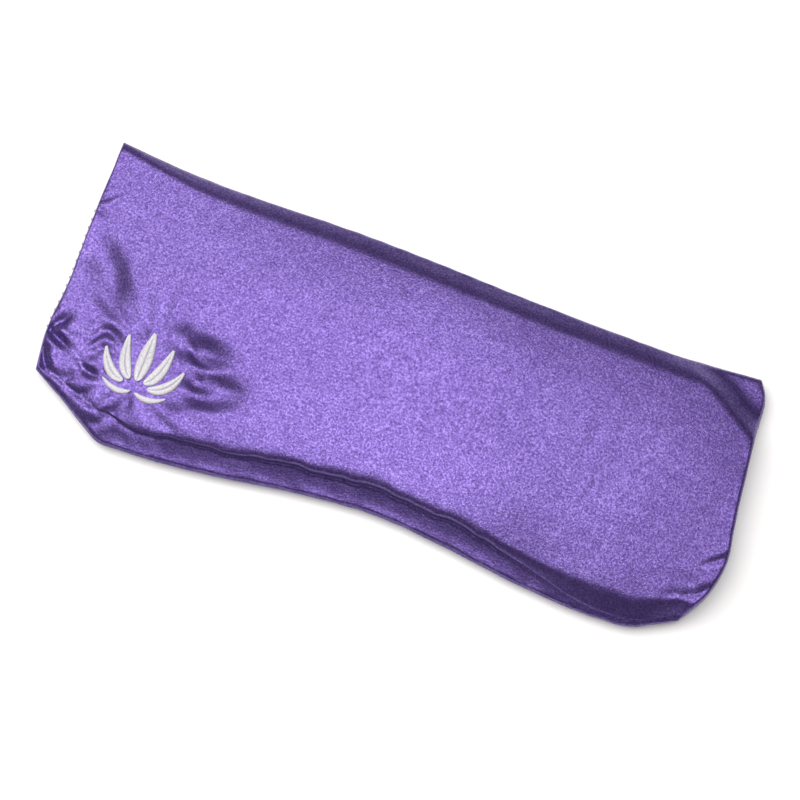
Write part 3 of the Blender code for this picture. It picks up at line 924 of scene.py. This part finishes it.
def panel(name, xy, z, look, side):
    """A grid of cloth, facing up for side 1 and down for side -1."""
    faces = grid_faces(*xy.shape[:2])
    return new_object(name, lifted(xy, z), faces if side > 0 else faces[:, ::-1], [look])


def keep(piece, node):
    """Puts a piece on the one body, in place of its CAD node."""
    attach(piece, "root")
    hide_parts(node)
    return piece


def seed_body():
    """The seeds: one closed heap with a pebbled skin."""
    xy, gap = inner_grid(SEED_INSETS, *SEED_GRID)
    pebbles = PEBBLE * wave_noise(xy, 3.4, 11, 1) * rising(gap / 3)
    top = inner_sheet(gap, under_face(xy, SEED_UNDER_FACE), 1, SEED_RUN) + pebbles
    foot = inner_sheet(gap, belly(xy) + SEED_OVER_BACK, -1, SEED_RUN) - pebbles
    count = gap.size
    rim = grid_rim(*SEED_GRID)
    wall = np.stack([rim, rim + count, np.roll(rim + count, -1), np.roll(rim, -1)], 1)
    faces = grid_faces(*SEED_GRID)
    faces = np.concatenate([faces, faces[:, ::-1] + count, wall])
    return new_object("seeds", np.concatenate([lifted(xy, top), lifted(xy, foot)]), faces, [SEED])


def inner_pieces():
    """The muslin bag, its seeds and its seam."""
    xy, gap = inner_grid(BAG_INSETS, *BAG_GRID)
    top = inner_sheet(gap, under_face(xy, BAG_UNDER_FACE), 1, BAG_RUN)
    foot = inner_sheet(gap, belly(xy) + BAG_OVER_BACK, -1, BAG_RUN)
    upper = keep(panel("muslin_front", xy, top, MUSLIN, 1), "inner_bag_front")
    lower = keep(panel("muslin_back", xy, foot, MUSLIN, -1), "inner_bag_back")
    keep(seed_body(), "seed_fill")
    rim = np.concatenate([xy[:-1, 1], xy[-2, :-1], xy[:0:-1, -2], xy[1, :0:-1]])
    path = lifted(rim, SEAM_Z)
    stitches = [path[i:i + 2] for i in range(len(path) - 1)]
    keep(tubes("muslin_stitches", stitches, BAG_STITCH, MUSLIN_THREAD), "inner_bag_thread")


# ------------------------------------------------------------------ thread

THREAD_SIDES = 6
THREAD_END = 0.55         # a thread's ends taper to this share of its radius


def tubes(name, paths, radius, look, extra=None):
    """Round threads along paths as one mesh, with any extra (points, faces) added."""
    verts, faces, count = [], [], 0
    turn = np.linspace(0, 2 * np.pi, THREAD_SIDES, endpoint=False)[None, :, None]
    for path in paths:
        ahead = np.gradient(path, axis=0)
        ahead /= np.linalg.norm(ahead, axis=1)[:, None]
        side = np.cross(ahead, [0.03, 0.02, 1.0])
        side /= np.linalg.norm(side, axis=1)[:, None]
        up = np.cross(side, ahead)
        size = np.full(len(path), radius)
        size[[0, -1]] *= THREAD_END
        round_it = np.cos(turn) * side[:, None] + np.sin(turn) * up[:, None]
        ring = path[:, None] + size[:, None, None] * round_it
        verts.append(ring.reshape(-1, 3))
        index = count + np.arange(len(path) * THREAD_SIDES).reshape(len(path), THREAD_SIDES)
        turned = np.roll(index, -1, axis=1)
        walls = np.stack([index[:-1], turned[:-1], turned[1:], index[1:]], -1)
        faces.extend(walls.reshape(-1, 4).tolist())
        faces.append(index[0][::-1].tolist())
        faces.append(index[-1].tolist())
        count += index.size
    if extra:
        verts.append(extra[0])
        faces.extend((extra[1] + count).tolist())
    return new_object(name, np.concatenate(verts), faces, [look])


PETALS = {   # base, bend and tip from the motif's centre, and width; a petal off the middle is mirrored
    "center": ((0.0, -5.6), (0.0, 2.0), (0.0, 10.4), 5.0),
    "inner": ((2.5, -5.6), (6.9, -2.6), (7.6, 7.4), 4.0),
    "outer": ((4.3, -6.9), (10.4, -6.6), (13.4, 1.6), 3.5),
    "base": ((0.9, -9.4), (6.0, -11.6), (10.8, -8.0), 1.9),
}
THREAD_PITCH = 0.34       # along a petal's rib
THREAD_RADIUS = 0.20
NARROW = 2.5              # threads run right across a petal that is narrower than this
# A thread from the rib to an edge: shares of the way, and heights over the face.
RIB_TO_EDGE = np.array([0.0, 0.14, 0.38, 0.64, 0.86, 1.0])
RIB_LIFT = np.array([0.30, 0.52, 0.66, 0.60, 0.36, -0.12])
# A thread from edge to edge.
EDGE_TO_EDGE = np.array([-1.0, -0.8, -0.35, 0.0, 0.35, 0.8, 1.0])
EDGE_LIFT = np.array([-0.12, 0.25, 0.5, 0.56, 0.5, 0.25, -0.12])
PAD_GRID = (24, 9)
PAD_LENGTH, PAD_WIDTH = np.linspace(0.02, 0.98, PAD_GRID[0]), np.linspace(-0.93, 0.93, PAD_GRID[1])
PAD_LIFT, PAD_SINK = 0.42, 0.03
BACKING_REACH = (15.5, 11.5)
BACKING_POINTS = 25       # across the backing, both ways
BACKING_UNDER = 0.9       # how far under the face the backing lies


def petal_points(base, bend, tip, width, s, t):
    """Plan points of a petal: s along its rib, t across it from -1 to 1."""
    s, t = np.clip(s, 0, 1)[..., None], t[..., None]
    rib = (1 - s) ** 2 * base + 2 * s * (1 - s) * bend + s * s * tip
    along = 2 * (1 - s) * (bend - base) + 2 * s * (tip - bend)
    across = np.stack([-along[..., 1], along[..., 0]], -1) / np.linalg.norm(along, axis=-1)[..., None]
    half = width / 2 * np.sin(np.pi * (0.04 + 0.92 * s) ** 0.85) ** 0.75
    return MOTIF + rib + across * half * t


class Surface:
    """The height of the finished face over any plan point."""

    def __init__(self, obj):
        self.tree = BVHTree.FromObject(obj, bpy.context.evaluated_depsgraph_get())

    def __call__(self, xy):
        flat = xy.reshape(-1, 2)
        z = np.empty(len(flat))
        for i, (x, y) in enumerate(flat):
            hit = self.tree.ray_cast(Vector((x * MM, y * MM, 0.1)), Vector((0, 0, -1)))[0]
            z[i] = hit.z / MM if hit else SEAM_Z
        return z.reshape(xy.shape[:-1])


def petal_threads(shape, count, surface):
    """The threads of one petal in satin stitch, each a little out of line."""
    narrow = shape[-1] < NARROW
    paths = []
    for number in range(count):
        at = (number + 0.5) / count
        if narrow:
            s = at + 0.05 * EDGE_TO_EDGE + RNG.normal(0, 0.002)
            xy = petal_points(*shape, s, EDGE_TO_EDGE)
            paths.append(lifted(xy, surface(xy) + EDGE_LIFT + RNG.normal(0, 0.02)))
            continue
        for side in (-1, 1):
            s = at + 0.085 * RIB_TO_EDGE - 0.03 + RNG.normal(0, 0.0025)
            xy = petal_points(*shape, s, side * RIB_TO_EDGE * (1 + RNG.normal(0, 0.015)))
            paths.append(lifted(xy, surface(xy) + RIB_LIFT + RNG.normal(0, 0.02)))
    return paths


def embroidered_petal(name, base, bend, tip, width, mirror, surface):
    """A petal of threads over a pad."""
    base, bend, tip = (np.array(point) * (mirror, 1.0) for point in (base, bend, tip))
    shape = (base, bend, tip, width)
    length = np.linalg.norm(bend - base) + np.linalg.norm(tip - bend)
    paths = petal_threads(shape, int(length * 0.93 / THREAD_PITCH), surface)
    s, t = np.meshgrid(PAD_LENGTH, PAD_WIDTH, indexing="ij")
    xy = petal_points(*shape, s, t)
    lift = PAD_LIFT * (1 - t**2) * (0.7 + 0.3 * np.abs(t)) - PAD_SINK
    pad = (lifted(xy, surface(xy) + lift), grid_faces(*PAD_GRID))
    made = tubes(f"stitched_{name}", paths, THREAD_RADIUS, WHITE_THREAD, pad)
    keep(made, f"embroidery_petal_{name}")


def stabiliser(surface):
    """The round of backing cloth behind the motif."""
    even = np.linspace(-1, 1, BACKING_POINTS)
    s, t = np.meshgrid(even, even, indexing="ij")
    disc = np.stack([s * np.sqrt(1 - t * t / 2), t * np.sqrt(1 - s * s / 2)], -1) * BACKING_REACH + MOTIF
    z = surface(disc) - BACKING_UNDER
    backing = keep(panel("stabiliser", disc, z, BACKING, 1), "embroidery_backing")


def embroidery(surface):
    """The lotus and its backing."""
    for name, (base, *rest) in PETALS.items():
        if base[0] == 0.0:
            embroidered_petal(name, base, *rest, 1.0, surface)
            continue
        for side, mirror in (("right", 1.0), ("left", -1.0)):
            embroidered_petal(f"{name}_{side}", base, *rest, mirror, surface)
    stabiliser(surface)


RIM = np.concatenate([SIDES["bottom"][:-1], SIDES["right"][:-1], SIDES["top"][:0:-1], SIDES["left"][:0:-1]])
RIM_AT = lengths_along(RIM)
ROUND = RIM_AT[-1]        # the length of the rim

SEAM_STITCH, SEAM_RADIUS, SEAM_INSET = 2.6, 0.11, 0.5
STITCH_SHARES = np.array([0.04, 0.2, 0.5, 0.8, 0.96])[:, None]    # along a stitch
STITCH_RISE = np.array([-0.06, 0.05, 0.08, 0.05, -0.06])          # off the seam's plane there
LOOP_PITCH, LOOP_RADIUS = 2.9, 0.12
LOOP_ARC = np.linspace(-1.15, 1.15, 9) * np.pi / 2    # a closing stitch goes round the edge this far
LOOP_INSET, LOOP_REACH, LOOP_HEIGHT = 0.55, 0.66, 0.98
LOOP_LEAN = 0.22
SEAM_CLEAR = 1.0          # between the closing stitches and the machine seam


def rim_path(first, last, step, inset):
    """Plan points round the rim, anticlockwise from the lower left corner, with the inward way at each."""
    want = np.arange(first, last, step) % ROUND
    points = np.stack([np.interp(want, RIM_AT, RIM[:, k]) for k in (0, 1)], 1)
    ahead = np.stack([np.interp((want + 0.4) % ROUND, RIM_AT, RIM[:, k]) for k in (0, 1)], 1) - points
    inward = np.stack([-ahead[:, 1], ahead[:, 0]], 1) / np.linalg.norm(ahead, axis=1)[:, None]
    return points + inward * inset, inward


def opening():
    """Where the closing stitches start and stop, as distances round the rim."""
    low, high = (corner.y / MM - LOWER_LEFT[1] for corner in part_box("closing_thread"))
    return ROUND - high, ROUND - low


def machine_seam(first, last):
    """Stitches that lie now over and now under the seam's plane."""
    points, _ = rim_path(first, last, SEAM_STITCH, SEAM_INSET)
    stitches = []
    for k, (a, b) in enumerate(zip(points[:-1], points[1:])):
        stitches.append(lifted(a + (b - a) * STITCH_SHARES, SEAM_Z + STITCH_RISE * (1 if k % 2 else -1)))
    keep(tubes("seam_stitches", stitches, SEAM_RADIUS, SATIN_THREAD), "cover_seam_thread")


def closing_seam(first, last):
    """Hand stitches that go round the closed edge."""
    loops = []
    for point, inward in zip(*rim_path(first, last, LOOP_PITCH, 0.0)):
        way = np.array([-inward[1], inward[0]])
        reach = LOOP_INSET - LOOP_REACH * np.cos(LOOP_ARC)
        xy = point + inward * reach[:, None] + way * (LOOP_ARC * LOOP_LEAN)[:, None]
        loops.append(lifted(xy, SEAM_Z + LOOP_HEIGHT * np.sin(LOOP_ARC)))
    keep(tubes("closing_stitches", loops, LOOP_RADIUS, SATIN_THREAD), "closing_thread")


def seam_threads():
    """The seam round the cover, from one end of the closed opening to the other, and across it."""
    start, stop = opening()
    machine_seam(stop + SEAM_CLEAR, start + ROUND - SEAM_CLEAR)
    closing_seam(start, stop)


# ------------------------------------------------------------------ the pillow

front = subdivide(keep(cover_front(), "cover_front"))
back = subdivide(keep(cover_back(), "cover_back"))
embroidery(Surface(front))
seam_threads()
inner_pieces()

studio()
